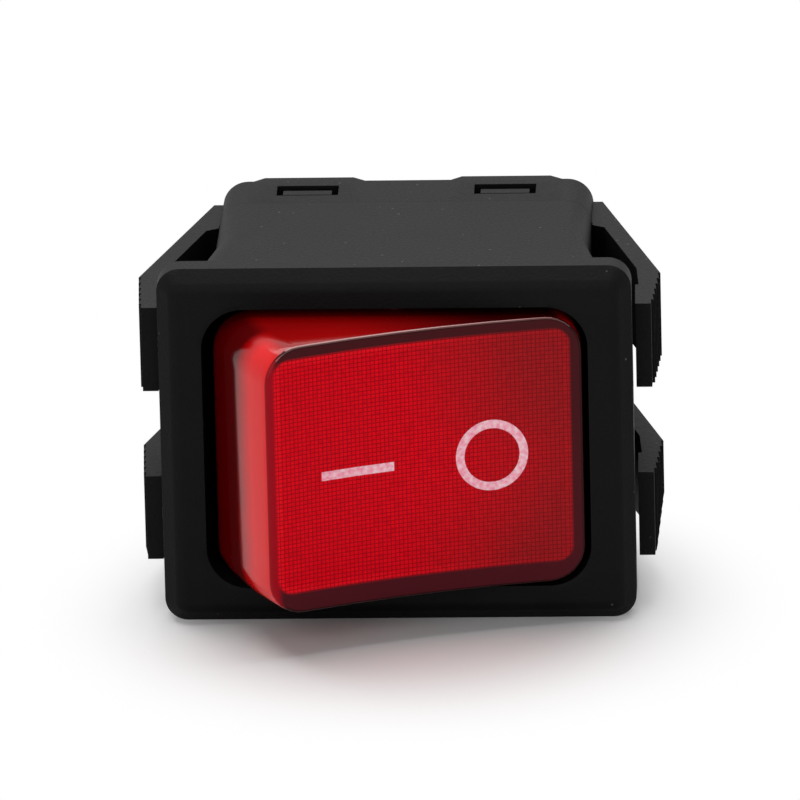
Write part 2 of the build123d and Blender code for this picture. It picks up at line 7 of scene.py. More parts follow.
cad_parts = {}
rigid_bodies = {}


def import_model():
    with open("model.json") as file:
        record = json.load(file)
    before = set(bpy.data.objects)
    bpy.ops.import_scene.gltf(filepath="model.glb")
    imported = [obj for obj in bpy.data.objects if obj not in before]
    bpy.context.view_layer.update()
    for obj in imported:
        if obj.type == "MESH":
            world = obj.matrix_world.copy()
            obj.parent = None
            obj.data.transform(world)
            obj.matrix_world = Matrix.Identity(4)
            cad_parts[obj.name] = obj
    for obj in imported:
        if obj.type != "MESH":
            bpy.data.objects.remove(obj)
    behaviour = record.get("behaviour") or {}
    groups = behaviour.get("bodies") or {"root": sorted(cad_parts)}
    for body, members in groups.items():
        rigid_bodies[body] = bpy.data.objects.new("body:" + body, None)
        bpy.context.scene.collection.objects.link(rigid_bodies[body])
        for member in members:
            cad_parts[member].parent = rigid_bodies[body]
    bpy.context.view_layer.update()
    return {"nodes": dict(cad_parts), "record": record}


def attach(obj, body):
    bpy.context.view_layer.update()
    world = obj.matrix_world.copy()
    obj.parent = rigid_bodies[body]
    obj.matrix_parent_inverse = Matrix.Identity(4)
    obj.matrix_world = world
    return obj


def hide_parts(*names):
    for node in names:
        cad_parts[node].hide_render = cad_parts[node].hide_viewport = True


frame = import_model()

mm = 0.001
print("frame loaded")


# Small helpers

def linear(hexColour):
    # sRGB hex to the linear colour that a socket takes
    channels = [int(hexColour[i:i + 2], 16) / 255 for i in (1, 3, 5)]
    return [c / 12.92 if c <= 0.04045 else ((c + 0.055) / 1.055) ** 2.4 for c in channels] + [1.0]


def patternScale(sizeMm):
    # Texture scale at which one feature of the pattern is that many millimetres across
    return 1000 / sizeMm


def addNode(tree, kind, settings=None, links=None):
    node = tree.nodes.new(kind)
    for name, value in (settings or {}).items():
        if isinstance(name, str) and hasattr(node, name):
            setattr(node, name, value)
        else:
            node.inputs[name].default_value = value
    for name, source in (links or {}).items():
        tree.links.new(source, node.inputs[name])
    return node


def objectPlace(tree):
    return addNode(tree, "ShaderNodeTexCoord").outputs["Object"]


def addNoise(tree, vector, sizeMm, detail=2.0):
    noise = addNode(
        tree, "ShaderNodeTexNoise", {"Scale": patternScale(sizeMm), "Detail": detail}, {"Vector": vector},
    )
    return noise.outputs["Fac"]


def addRange(tree, value, low, high, toLow=0.0, toHigh=1.0, curve="LINEAR"):
    spread = addNode(
        tree, "ShaderNodeMapRange",
        {"interpolation_type": curve, "From Min": low, "From Max": high, "To Min": toLow, "To Max": toHigh},
        {"Value": value},
    )
    return spread.outputs["Result"]


def addMath(tree, operation, *values, clamp=False):
    # Numbers are set on the sockets, outputs of other nodes are linked to them
    numbers = {i: v for i, v in enumerate(values) if isinstance(v, (int, float))}
    sources = {i: v for i, v in enumerate(values) if i not in numbers}
    node = addNode(tree, "ShaderNodeMath", {"operation": operation, "use_clamp": clamp, **numbers}, sources)
    return node.outputs[0]


def addMix(tree, share, first, second):
    # Colours are lists of four numbers or outputs of other nodes
    colours = {6: first, 7: second}
    fixed = {i: c for i, c in colours.items() if isinstance(c, list)}
    sources = {i: c for i, c in colours.items() if i not in fixed}
    node = addNode(tree, "ShaderNodeMix", {"data_type": "RGBA", **fixed}, {0: share, **sources})
    return node.outputs[2]


def scaled(colour, share):
    return [c * share for c in colour[:3]] + [1]


def directlySeen(tree):
    # Rays that reach the eye from the camera, by a reflection or through something clear
    path = addNode(tree, "ShaderNodeLightPath")
    seen = addMath(tree, "MAXIMUM", path.outputs["Is Camera Ray"], path.outputs["Is Glossy Ray"])
    return path, addMath(tree, "MAXIMUM", seen, path.outputs["Is Transmission Ray"])


def newMaterial(name):
    material = bpy.data.materials.new(name)
    material.use_nodes = True
    tree = material.node_tree
    tree.nodes.clear()
    shader = addNode(tree, "ShaderNodeBsdfPrincipled")
    addNode(tree, "ShaderNodeOutputMaterial", links={"Surface": shader.outputs["BSDF"]})
    return material, tree, shader


def deselect():
    if bpy.context.object and bpy.context.object.mode != "OBJECT":
        bpy.ops.object.mode_set(mode="OBJECT")
    bpy.ops.object.select_all(action="DESELECT")


def pick(obj):
    deselect()
    obj.select_set(True)
    bpy.context.view_layer.objects.active = obj


def addModifier(obj, kind, **settings):
    modifier = obj.modifiers.new(kind.lower(), kind)
    for name, value in settings.items():
        setattr(modifier, name, value)
    pick(obj)
    bpy.ops.object.modifier_apply(modifier=modifier.name)


def selectParts(obj, kind, test):
    # Leaves edit mode with the vertices, edges or faces that pass the test selected
    pick(obj)
    bpy.ops.object.mode_set(mode="EDIT")
    bpy.ops.mesh.select_mode(type=kind)
    bpy.ops.mesh.select_all(action="DESELECT")
    bpy.ops.object.mode_set(mode="OBJECT")
    parts = {"VERT": obj.data.vertices, "EDGE": obj.data.edges, "FACE": obj.data.polygons}
    for part in parts[kind]:
        part.select = test(part)
    bpy.ops.object.mode_set(mode="EDIT")


def selectFaces(obj, test):
    selectParts(obj, "FACE", test)


def selectEdges(obj, test):
    # The test takes the places of the edge's two ends
    selectParts(obj, "EDGE", lambda edge: test(*(obj.data.vertices[i].co for i in edge.vertices)))


# Materials

# The rocker's sizes, and its own directions at rest, where its right-hand end is pressed in
rocker = {
    "tilt": 19.2,
    "axis": Vector((0, -0.25, 0)) * mm,
    "faceHalf": 11.251 * mm,
    "reach": 6.73 * mm,
    "skirt": 2.3 * mm,
    "skirtHalf": 12.351 * mm,
    "endBulge": 0.35 * mm,
    "dish": 70.0 * mm,
    "height": 19.2 * mm,
    "cornerRadius": 2.5 * mm,
    "edgeRadius": 0.2 * mm,
    "wall": 1.0 * mm,
    "trunnionRadius": 1.1 * mm,
    "trunnionLength": 0.8 * mm,
    "trunnionRoot": 0.5 * mm,      # the part of the trunnion that stands inside the wall
    "endSteps": 14,
    "faceSteps": 7,
    "cornerSteps": 8,
    "edgeSteps": 4,
    "trunnionPoints": 32,
    "smoothUnder": 35,
    "near": 0.001 * mm,
    "faceBand": 0.02 * mm,         # what still counts as the dished face, in depth
}
turn = Matrix.Rotation(math.radians(rocker["tilt"]), 4, "Z")
rockerPlace = Matrix.Translation(rocker["axis"]) @ turn
rockerBack = rockerPlace.inverted()


def rockerCoordinates(tree):
    # Object coordinates, turned and moved so that x runs along the rocker's face, and their three parts
    turned = addNode(
        tree, "ShaderNodeMapping",
        {"Location": rockerBack.to_translation(), "Rotation": rockerBack.to_euler()},
        {"Vector": objectPlace(tree)},
    )
    local = turned.outputs["Vector"]
    split = addNode(tree, "ShaderNodeSeparateXYZ", links={"Vector": local})
    return local, split.outputs["X"], split.outputs["Y"], split.outputs["Z"]


nylonLook = {
    "mottleMm": 3.0,
    "mottleShades": (0.8, 1.2),
    "speckCellMm": 1.6,
    "speckRadius": (0.035, 0.06),  # of a cell
    "speckColour": "#6a6866",
    "grainHeight": 0.035 * mm,
    "grainStrength": 0.7,
    "roughness": (0.5, 0.66),
    "ior": 1.53,
}


def mouldedNylon(name, colour, grainMm, dust, gloss):
    # Nylon 66 from an eroded mould: a fine even grain that spreads the highlight, near-black pigment.
    # The grain is drawn about twice as coarse as it is, so that it shows.
    material, tree, shader = newMaterial(name)
    place = objectPlace(tree)
    shade = addNode(
        tree, "ShaderNodeValToRGB", links={"Fac": addNoise(tree, place, nylonLook["mottleMm"], 3.0)},
    )
    low, high = shade.color_ramp.elements
    darker, lighter = (scaled(linear(colour), share) for share in nylonLook["mottleShades"])
    low.position, low.color = 0.35, darker
    high.position, high.color = 0.65, lighter

    # Dust: sparse pale specks about a tenth of a millimetre across
    specks = addNode(
        tree, "ShaderNodeTexVoronoi", {"Scale": patternScale(nylonLook["speckCellMm"]), "Randomness": 1.0},
        {"Vector": place},
    )
    speckMask = addRange(tree, specks.outputs["Distance"], *nylonLook["speckRadius"], dust, 0.0)
    dusted = addMix(tree, speckMask, shade.outputs["Color"], linear(nylonLook["speckColour"]))
    tree.links.new(dusted, shader.inputs["Base Color"])

    grain = addNoise(tree, place, grainMm)
    bump = addNode(
        tree, "ShaderNodeBump",
        {"Strength": nylonLook["grainStrength"], "Distance": nylonLook["grainHeight"]}, {"Height": grain},
    )
    tree.links.new(bump.outputs["Normal"], shader.inputs["Normal"])
    rough = addRange(tree, grain, 0.0, 1.0, *nylonLook["roughness"])
    tree.links.new(rough, shader.inputs["Roughness"])
    shader.inputs["Specular IOR Level"].default_value = gloss
    shader.inputs["IOR"].default_value = nylonLook["ior"]
    return material


metalLook = {
    "lineMm": 0.12,
    "lineStretch": (1.0, 0.06, 1.0),
    "lineHeight": 0.005 * mm,
    "tarnishMm": 2.5,
    "tarnishShade": 0.72,
}


def rolledMetal(name, colour, roughness):
    # Strip metal: faint rolling lines along the strip and slight tarnish
    material, tree, shader = newMaterial(name)
    place = objectPlace(tree)
    stretch = addNode(tree, "ShaderNodeMapping", {"Scale": metalLook["lineStretch"]}, {"Vector": place})
    lines = addNoise(tree, stretch.outputs["Vector"], metalLook["lineMm"])
    tarnish = addNoise(tree, place, metalLook["tarnishMm"], 4.0)
    shade = addMix(tree, tarnish, linear(colour), scaled(linear(colour), metalLook["tarnishShade"]))
    tree.links.new(shade, shader.inputs["Base Color"])
    rough = addRange(tree, lines, 0.0, 1.0, roughness - 0.08, roughness + 0.12)
    tree.links.new(rough, shader.inputs["Roughness"])
    bump = addNode(
        tree, "ShaderNodeBump", {"Strength": 0.3, "Distance": metalLook["lineHeight"]}, {"Height": lines},
    )
    tree.links.new(bump.outputs["Normal"], shader.inputs["Normal"])
    shader.inputs["Metallic"].default_value = 1.0
    return material


def clearGlass(name):
    # Bulb glass, thin and clear, with a faint smoky mottle
    material, tree, shader = newMaterial(name)
    haze = addNoise(tree, objectPlace(tree), 2.0)
    tree.links.new(addRange(tree, haze, 0.0, 1.0, 0.02, 0.1), shader.inputs["Roughness"])
    shader.inputs["Base Color"].default_value = linear("#f2f0ea")
    shader.inputs["Transmission Weight"].default_value = 1.0
    shader.inputs["IOR"].default_value = 1.5
    return material


lensLook = {
    "pitch": 0.3 * mm,          # moulded grid, counted in the photo
    "line": 0.052 * mm,
    "patternHalf": (10.55, 8.4),  # mm along the face and across it
    "patternCentre": (-0.15, 0.32),
    "patternCorner": 1.1,
    "patternSoft": 0.12,
    "borderRow": (0.55, 0.2),     # where the bright outermost row begins and is full, mm inside the corner
    "facetMm": 0.3,
    "facetShades": (0.72, 1.08),
    "shadeX": (2.5 * mm, 16.0 * mm),
    "shadeBow": 0.6,
    "shadeWander": 5.0 * mm,
    "rimZ": (8.0 * mm, -8.0 * mm),
    "rimLitX": (-10.3 * mm, -10.9 * mm),
    "edgeLitX": (-10.0 * mm, -10.9 * mm),
    "endX": (9.4 * mm, 10.8 * mm),
    "endDepth": (-7.0 * mm, 1.0 * mm),
    "sideX": (-7.0 * mm, 6.0 * mm),
    "sideDepth": (-6.5 * mm, -1.5 * mm),
    "wallWander": 0.8 * mm,
    "red": "#e80017",
    "deepRed": "#92000e",
    # painted light: the brighter outermost row of the grid
    "borderLitRed": "#ff1424",
    # painted shade: the face's colours at the pressed end, darker for the bezel's shade
    "shadedRed": "#a8181d",
    "shadedDeepRed": "#761116",
    # painted shade and light on the clear rim: dark maroon, and brighter red at the raised end
    "rimShadeUpper": "#46161a",
    "rimShadeLower": "#4e151d",
    "rimLitLeft": "#a4081a",
    # painted shade and light on the rounded edge: nearly black, and brighter red at the raised end
    "edge": "#2c080c",
    "edgeLitLeft": "#9a0818",
    # painted light and shade on the clear walls: glowing at the ends, darker into the cavity and at the
    # pressed end
    "endLit": "#e4040a",
    "endMid": "#bc0408",
    "endDeepShade": "#500002",
    "sideLit": "#a00406",
    "sideDeepShade": "#840203",
    "sidePressedShade": "#340102",
    "edgeTint": "#ffc0bc",
    "ior": 1.58,
}


def finishLens(shader, gloss):
    shader.inputs["IOR"].default_value = lensLook["ior"]
    shader.inputs["Specular IOR Level"].default_value = gloss


def gridCells(tree, x, z):
    # 1 in the middle of a cell of the moulded grid, 0 on its lines
    waves = [addMath(tree, "PINGPONG", side, lensLook["pitch"] / 2) for side in (x, z)]
    nearest = addMath(tree, "MINIMUM", *waves)
    return addRange(tree, nearest, 0.0, lensLook["line"], curve="SMOOTHSTEP")


def gridReach(tree, x, z):
    # How far a point lies out towards the rounded rectangle that the grid fills
    sides = []
    for place, centre, half in zip((x, z), lensLook["patternCentre"], lensLook["patternHalf"]):
        centred = addMath(tree, "SUBTRACT", place, centre * mm)
        size = addMath(tree, "ABSOLUTE", centred)
        over = addMath(tree, "SUBTRACT", size, (half - lensLook["patternCorner"]) * mm)
        sides.append(addMath(tree, "MAXIMUM", over, 0.0))
    corner = addNode(tree, "ShaderNodeCombineXYZ", links={"X": sides[0], "Y": sides[1]})
    reach = addNode(tree, "ShaderNodeVectorMath", {"operation": "LENGTH"}, {0: corner.outputs["Vector"]})
    return reach.outputs["Value"]


def lensFaceMaterial():
    # Red polycarbonate with a moulded grid on its inner side, seen through the clear outer skin
    material, tree, shader = newMaterial("Red polycarbonate, gridded face")
    local, x, y, z = rockerCoordinates(tree)
    # Each facet of the grid catches the light a little differently
    facets = addNoise(tree, local, lensLook["facetMm"], 1.0)
    uneven = addRange(tree, facets, 0.3, 0.7, *lensLook["facetShades"])
    bright = addMath(tree, "MULTIPLY", uneven, gridCells(tree, x, z), clamp=True)
    leftColour = addMix(tree, bright, linear(lensLook["deepRed"]), linear(lensLook["red"]))
    # Painted shade: the pressed end lies deeper in the bezel's shade and is painted darker, and its grid
    # fades to a weak weave
    rightColour = addMix(tree, bright, linear(lensLook["shadedDeepRed"]), linear(lensLook["shadedRed"]))
    # The painted shade reaches further in along the upper and lower sides than on the middle line
    bowed = addMath(tree, "MULTIPLY_ADD", addMath(tree, "ABSOLUTE", z), lensLook["shadeBow"], x)
    broad = addNoise(tree, local, 8.0, 1.0)
    shift = addMath(tree, "MULTIPLY_ADD", broad, lensLook["shadeWander"], bowed)
    across = addRange(tree, shift, *lensLook["shadeX"], curve="SMOOTHSTEP")
    gridColour = addMix(tree, across, leftColour, rightColour)

    # Painted shade: outside the grid the clear rim looks dark, so it is painted dark maroon, a little
    # different above and below
    reach = gridReach(tree, x, z)
    corner, soft = lensLook["patternCorner"], lensLook["patternSoft"]
    inside = addRange(tree, reach, (corner - soft) * mm, (corner + soft) * mm, 1.0, 0.0)
    # Painted light: the outermost row of the grid sits on a slope and is painted brighter than the rest,
    # most at the raised end
    slope = addMath(tree, "MULTIPLY_ADD", across, -0.42, 0.5)
    begins, full = ((corner - inset) * mm for inset in lensLook["borderRow"])
    border = addNode(
        tree, "ShaderNodeMapRange",
        {"From Min": begins, "From Max": full}, {"Value": reach, "To Max": slope},
    )
    borderCells = addMath(tree, "MULTIPLY", border.outputs["Result"], bright)
    bordered = addMix(tree, borderCells, gridColour, linear(lensLook["borderLitRed"]))
    low = addRange(tree, z, *lensLook["rimZ"])
    rimColour = addMix(tree, low, linear(lensLook["rimShadeUpper"]), linear(lensLook["rimShadeLower"]))
    # Painted light: at the raised end the lit wall shines through the rim, painted as a brighter red
    raised = addRange(tree, x, *lensLook["rimLitX"], curve="SMOOTHSTEP")
    rimAll = addMix(tree, raised, rimColour, linear(lensLook["rimLitLeft"]))
    tree.links.new(addMix(tree, inside, rimAll, bordered), shader.inputs["Base Color"])
    shader.inputs["Roughness"].default_value = 0.2
    finishLens(shader, 0.04)
    return material


def lensWallMaterial():
    # The same polycarbonate where it is clear, with painted light and shade: it is painted glowing at the
    # ends and darker into the cavity and towards the pressed end
    material, tree, shader = newMaterial("Red polycarbonate, polished wall")
    local, x, y, z = rockerCoordinates(tree)
    wander = addMath(tree, "MULTIPLY_ADD", addNoise(tree, local, 4.0, 1.0), lensLook["wallWander"], y)
    depth = addRange(tree, wander, *lensLook["endDepth"])
    endShade = addNode(tree, "ShaderNodeValToRGB", links={"Fac": depth})
    ramp = endShade.color_ramp
    ramp.elements[0].position, ramp.elements[0].color = 0.0, linear(lensLook["endLit"])
    ramp.elements[1].position, ramp.elements[1].color = 0.66, linear(lensLook["endDeepShade"])
    for position, colour in ((0.36, "endLit"), (0.5, "endMid")):
        ramp.elements.new(position).color = linear(lensLook[colour])
    # Painted shade: the side walls are painted darker into the cavity and towards the pressed end
    along = addRange(tree, x, *lensLook["sideX"], curve="SMOOTHSTEP")
    sideDepth = addRange(tree, wander, *lensLook["sideDepth"])
    sideGlow = addMix(tree, sideDepth, linear(lensLook["sideLit"]), linear(lensLook["sideDeepShade"]))
    sideShade = addMix(tree, along, sideGlow, linear(lensLook["sidePressedShade"]))
    onEnd = addRange(tree, addMath(tree, "ABSOLUTE", x), *lensLook["endX"], curve="SMOOTHSTEP")
    tree.links.new(addMix(tree, onEnd, sideShade, endShade.outputs["Color"]), shader.inputs["Base Color"])
    shader.inputs["Roughness"].default_value = 0.1
    finishLens(shader, 0.15)
    return material


def lensEdgeMaterial(name, gloss):
    # The rounded edge of the face: clear and thick, so it looks nearly black, with a hard glint. Painted
    # shade: its colour is painted nearly black, and painted brighter red at the raised end, where the lit
    # wall shines through
    material, tree, shader = newMaterial(name)
    local, x, y, z = rockerCoordinates(tree)
    raised = addRange(tree, x, *lensLook["edgeLitX"], curve="SMOOTHSTEP")
    colour = addMix(tree, raised, linear(lensLook["edge"]), linear(lensLook["edgeLitLeft"]))
    tree.links.new(colour, shader.inputs["Base Color"])
    wear = addRange(tree, addNoise(tree, local, 0.5), 0.35, 0.7, 0.03, 0.25)
    tree.links.new(wear, shader.inputs["Roughness"])
    shader.inputs["Specular Tint"].default_value = linear(lensLook["edgeTint"])
    finishLens(shader, gloss)
    return material


inkLook = {
    "thin": "#fa92ac",
    "full": "#ffd5dd",
    "roughness": 0.4,
}


def printedInkMaterial():
    # Pad-printed white ink, thin enough that the red shows through as pink
    material, tree, shader = newMaterial("Pad-printed white ink")
    cover = addRange(tree, addNoise(tree, objectPlace(tree), 0.3, 3.0), 0.35, 0.65)
    colour = addMix(tree, cover, linear(inkLook["thin"]), linear(inkLook["full"]))
    tree.links.new(colour, shader.inputs["Base Color"])
    shader.inputs["Roughness"].default_value = inkLook["roughness"]
    return material


blackNylon = mouldedNylon("Moulded black nylon", "#060607", 0.2, 0.5, 0.085)
whiteNylon = mouldedNylon("Moulded white nylon", "#dcd8cc", 0.15, 0.0, 0.4)
naturalNylon = mouldedNylon("Moulded natural nylon", "#cfc6ae", 0.15, 0.0, 0.4)
resistorLacquer = mouldedNylon("Lacquered resistor body", "#b79a68", 0.2, 0.0, 0.5)
springSteel = rolledMetal("Drawn spring steel", "#a3a3a0", 0.35)
contactCopper = rolledMetal("Rolled copper alloy strip", "#c98f5f", 0.32)
silverContact = rolledMetal("Silver contact face", "#d6d4cc", 0.28)
tabBrass = rolledMetal("Rolled brass tab", "#cfae62", 0.3)
tinnedWire = rolledMetal("Tinned copper wire", "#b9b9b6", 0.3)
bulbGlass = clearGlass("Bulb glass")
lensFace = lensFaceMaterial()
lensWall = lensWallMaterial()
lensEdge = lensEdgeMaterial("Red polycarbonate, moulded edge", 0.12)
lensGlint = lensEdgeMaterial("Red polycarbonate, polished upper edge", 1.0)
printedInk = printedInkMaterial()
print("materials made")

slotMaterials = {
    "black_nylon": blackNylon,
    "red_lens": lensWall,
    "white_nylon": whiteNylon,
    "natural_nylon": naturalNylon,
    "spring_steel": springSteel,
    "copper_alloy": contactCopper,
    "silver_contact": silverContact,
    "brass_tab": tabBrass,
    "lamp_glass": bulbGlass,
    "resistor_body": resistorLacquer,
    "tinned_wire": tinnedWire,
}
nodeSlots = {part["node"]: part["material_slot"] for part in frame["record"]["subparts"]}
for name, node in frame["nodes"].items():
    node.data.materials.clear()
    node.data.materials.append(slotMaterials[nodeSlots[name]])
    pick(node)
    bpy.ops.object.shade_smooth_by_angle(angle=math.radians(30))
print("nodes dressed")


# Mouldings: a merged copy of the node with the small radii that a mould leaves

bezel = {
    "front": -2.75 * mm,
    "frontCorner": 0.55 * mm,      # corner radius of the flat front, inside the bevel
    "frontRounding": 0.4 * mm,
    "roundingSteps": 5,
    "frontInset": 0.48 * mm,       # wider than the rounding, but less than the corner's radius
    "outlineBand": 0.2 * mm,
    "near": 0.01 * mm,
}


def roundBezelFront(piece):
    # Rounds the edge where the front turns into the bevel; the inset gives it clean edges to run on
    def isFront(y):
        return abs(y - bezel["front"]) < bezel["near"]

    front = [v.co for v in piece.data.vertices if isFront(v.co.y)]
    corner = bezel["frontCorner"]
    straightX = max(co.x for co in front) - corner
    straightZ = max(co.z for co in front) - corner

    def onOutline(a, b):
        reach = [math.hypot(max(abs(p.x) - straightX, 0), max(abs(p.z) - straightZ, 0)) for p in (a, b)]
        return isFront(a.y) and isFront(b.y) and min(reach) > corner - bezel["outlineBand"]

    selectFaces(piece, lambda polygon: polygon.normal.y < -0.999 and isFront(polygon.center.y))
    bpy.ops.mesh.inset(thickness=bezel["frontInset"], use_boundary=True)
    selectEdges(piece, onOutline)
    bpy.ops.mesh.bevel(offset=bezel["frontRounding"], segments=bezel["roundingSteps"], affect="EDGES")
    bpy.ops.object.mode_set(mode="OBJECT")


moulding = {
    "housingRadius": 0.14 * mm,
    "baseRadius": 0.08 * mm,
    "mergeWithin": 0.002 * mm,
    "flatWithin": 0.6,             # degrees
    "bevelOver": 28,
    "smoothUnder": 35,
}


def softenedMoulding(nodeName, newName, radius, shape=None):
    pick(frame["nodes"][nodeName])
    bpy.ops.object.duplicate()
    piece = bpy.context.object
    piece.name = newName
    piece.data.name = newName
    bpy.ops.object.parent_clear(type="CLEAR_KEEP_TRANSFORM")
    for key in list(piece.keys()):
        if key.startswith("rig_"):
            del piece[key]
    bpy.ops.object.mode_set(mode="EDIT")
    bpy.ops.mesh.select_all(action="SELECT")
    bpy.ops.mesh.remove_doubles(threshold=moulding["mergeWithin"])
    bpy.ops.mesh.dissolve_limited(angle_limit=math.radians(moulding["flatWithin"]))
    bpy.ops.object.mode_set(mode="OBJECT")
    if shape:
        shape(piece)
    addModifier(
        piece, "BEVEL", width=radius, segments=2, limit_method="ANGLE",
        angle_limit=math.radians(moulding["bevelOver"]), use_clamp_overlap=True, harden_normals=False,
    )
    pick(piece)
    bpy.ops.object.shade_smooth_by_angle(angle=math.radians(moulding["smoothUnder"]))
    # Flat sides keep flat shading; only the small radii turn
    addModifier(piece, "WEIGHTED_NORMAL", mode="FACE_AREA_WITH_ANGLE", weight=100, keep_sharp=True)
    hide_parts(nodeName)
    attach(piece, "body")


softenedMoulding("housing", "housingMoulding", moulding["housingRadius"], roundBezelFront)
softenedMoulding("base", "baseMoulding", moulding["baseRadius"])
print("mouldings softened")


# Rocker lens

def arcThrough(start, middle, end):
    # Centre and sweep of the circle through three points
    ax, ay, bx, by, cx, cy = *start, *middle, *end
    d = 2 * (ax * (by - cy) + bx * (cy - ay) + cx * (ay - by))
    squares = [x * x + y * y for x, y in (start, middle, end)]
    ux = (squares[0] * (by - cy) + squares[1] * (cy - ay) + squares[2] * (ay - by)) / d
    uy = (squares[0] * (cx - bx) + squares[1] * (ax - cx) + squares[2] * (bx - ax)) / d
    sweep = math.atan2(cy - uy, cx - ux) - math.atan2(ay - uy, ax - ux)
    return (ux, uy, 0), (sweep + math.pi) % (2 * math.pi) - math.pi


def fillCorners(obj, test):
    # Closes one side of the block with a face on the corners that pass the test
    selectParts(obj, "VERT", lambda vertex: test(vertex.co))
    bpy.ops.mesh.edge_face_add()
    bpy.ops.object.mode_set(mode="OBJECT")


def faceDepth(x):
    # Where the dished face lies at that distance from the rocker's middle
    centre = -rocker["reach"] - math.sqrt(rocker["dish"] ** 2 - rocker["faceHalf"] ** 2)
    return centre + math.sqrt(rocker["dish"] ** 2 - x ** 2)


def lensBlock():
    # The upright edge of a plane is spun along the outline: raised end wall, dished face, pressed end wall
    faceHalf, reach, skirt, skirtHalf, height = (
        rocker[k] for k in ("faceHalf", "reach", "skirt", "skirtHalf", "height")
    )
    middle = ((faceHalf + skirtHalf) / 2 + rocker["endBulge"], (skirt - reach) / 2)
    deselect()
    bpy.ops.mesh.primitive_plane_add(
        size=height, location=(-skirtHalf, skirt + height / 2, 0), rotation=(0, math.pi / 2, 0),
    )
    lens = bpy.context.object
    lens.name = lens.data.name = "rockerLensCap"
    bpy.ops.object.transform_apply(location=True, rotation=True, scale=True)
    selectParts(lens, "VERT", lambda vertex: vertex.co.y > skirt + height / 2)
    bpy.ops.mesh.delete(type="VERT")
    bpy.ops.mesh.select_all(action="SELECT")
    arcs = (
        ((-skirtHalf, skirt), (-middle[0], middle[1]), (-faceHalf, -reach), rocker["endSteps"]),
        ((-faceHalf, -reach), (0, faceDepth(0)), (faceHalf, -reach), rocker["faceSteps"]),
        ((faceHalf, -reach), middle, (skirtHalf, skirt), rocker["endSteps"]),
    )
    for start, through, end, steps in arcs:
        centre, sweep = arcThrough(start, through, end)
        bpy.ops.mesh.spin(steps=steps, angle=-sweep, center=centre, axis=(0, 0, 1))
    bpy.ops.object.mode_set(mode="OBJECT")
    fillCorners(lens, lambda co: co.z > 0)
    fillCorners(lens, lambda co: co.z < 0)
    fillCorners(lens, lambda co: co.y > skirt - rocker["near"])
    bpy.ops.object.mode_set(mode="EDIT")
    bpy.ops.mesh.select_all(action="SELECT")
    bpy.ops.mesh.normals_make_consistent(inside=False)
    bpy.ops.object.mode_set(mode="OBJECT")
    return lens


def roundLensCorners(lens):
    # The four long corners between the end walls and the side walls
    near = rocker["near"]

    def onEndWall(p):
        return abs(p.x) > rocker["faceHalf"] - near and abs(abs(p.z) - rocker["height"] / 2) < near

    def isCorner(a, b):
        rearEdge = min(a.y, b.y) > rocker["skirt"] - near
        return onEndWall(a) and onEndWall(b) and abs(a.z - b.z) < near and not rearEdge and a.x * b.x > 0

    selectEdges(lens, isCorner)
    bpy.ops.mesh.bevel(offset=rocker["cornerRadius"], segments=rocker["cornerSteps"], affect="EDGES")
    bpy.ops.object.mode_set(mode="OBJECT")


def roundLensRim(lens):
    # The edge all round the dished face: it lies between a face that looks forward and one that doesn't
    band = rocker["faceBand"]

    def onFace(p):
        return p.y < faceDepth(0) + band and abs(p.x) < rocker["faceHalf"] + band / 2

    sides = {}
    for polygon in lens.data.polygons:
        front = polygon.normal.y < -0.9 and all(onFace(lens.data.vertices[i].co) for i in polygon.vertices)
        for key in polygon.edge_keys:
            sides.setdefault(key, []).append(front)
    selectParts(lens, "EDGE", lambda edge: sorted(sides[edge.key]) == [False, True])
    bpy.ops.mesh.bevel(
        offset=rocker["edgeRadius"], segments=rocker["edgeSteps"], affect="EDGES",
        material=lensLooks.index(lensEdge),
    )
    bpy.ops.object.mode_set(mode="OBJECT")


def paintLens(lens):
    wall, edge, face, glint = range(len(lensLooks))
    for polygon in lens.data.polygons:
        if polygon.material_index == wall and polygon.normal.y < -0.97:
            polygon.material_index = face
        if polygon.material_index == edge and polygon.normal.z > 0.4 and abs(polygon.normal.x) < 0.25:
            polygon.material_index = glint


def hollowLens(lens):
    # The flat rear is opened and the shell gets its wall
    selectFaces(lens, lambda polygon: polygon.normal.y > 0.99)
    bpy.ops.mesh.delete(type="FACE")
    bpy.ops.object.mode_set(mode="OBJECT")
    addModifier(lens, "SOLIDIFY", thickness=rocker["wall"], offset=-1.0)


def addTrunnions(lens):
    root = rocker["trunnionRoot"]
    for side in (-1, 1):
        bpy.ops.mesh.primitive_cylinder_add(
            vertices=rocker["trunnionPoints"], radius=rocker["trunnionRadius"],
            depth=rocker["trunnionLength"] + root,
            location=(0, 0, side * (rocker["height"] + rocker["trunnionLength"] - root) / 2),
        )
        trunnion = bpy.context.object
        trunnion.data.materials.append(lensWall)
        deselect()
        trunnion.select_set(True)
        lens.select_set(True)
        bpy.context.view_layer.objects.active = lens
        bpy.ops.object.join()


# One moulding with four looks: walls, the edge round the face, the face, and the edge's polished top
lensLooks = [lensWall, lensEdge, lensFace, lensGlint]


def makeLens():
    lens = lensBlock()
    for look in lensLooks:
        lens.data.materials.append(look)
    roundLensCorners(lens)
    roundLensRim(lens)
    paintLens(lens)
    hollowLens(lens)
    addTrunnions(lens)
    lens.data.transform(rockerPlace)
    pick(lens)
    bpy.ops.object.shade_smooth_by_angle(angle=math.radians(rocker["smoothUnder"]))
    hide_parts("rocker_lens")
    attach(lens, "rocker")
    return lens


lensCap = makeLens()
print("lens made")


# Printed marks: a bar for on and a ring for off, on the dished face

marks = {
    "ringCentre": 4.9 * mm,
    "ringOuter": 2.545 * mm,
    "ringInner": 1.94 * mm,
    "barCentre": -4.7 * mm,
    "barLength": 5.3 * mm,
    "barWidth": 0.64 * mm,
    "ink": 0.012 * mm,
    "ringPoints": 96,
    "barCuts": 10,
}


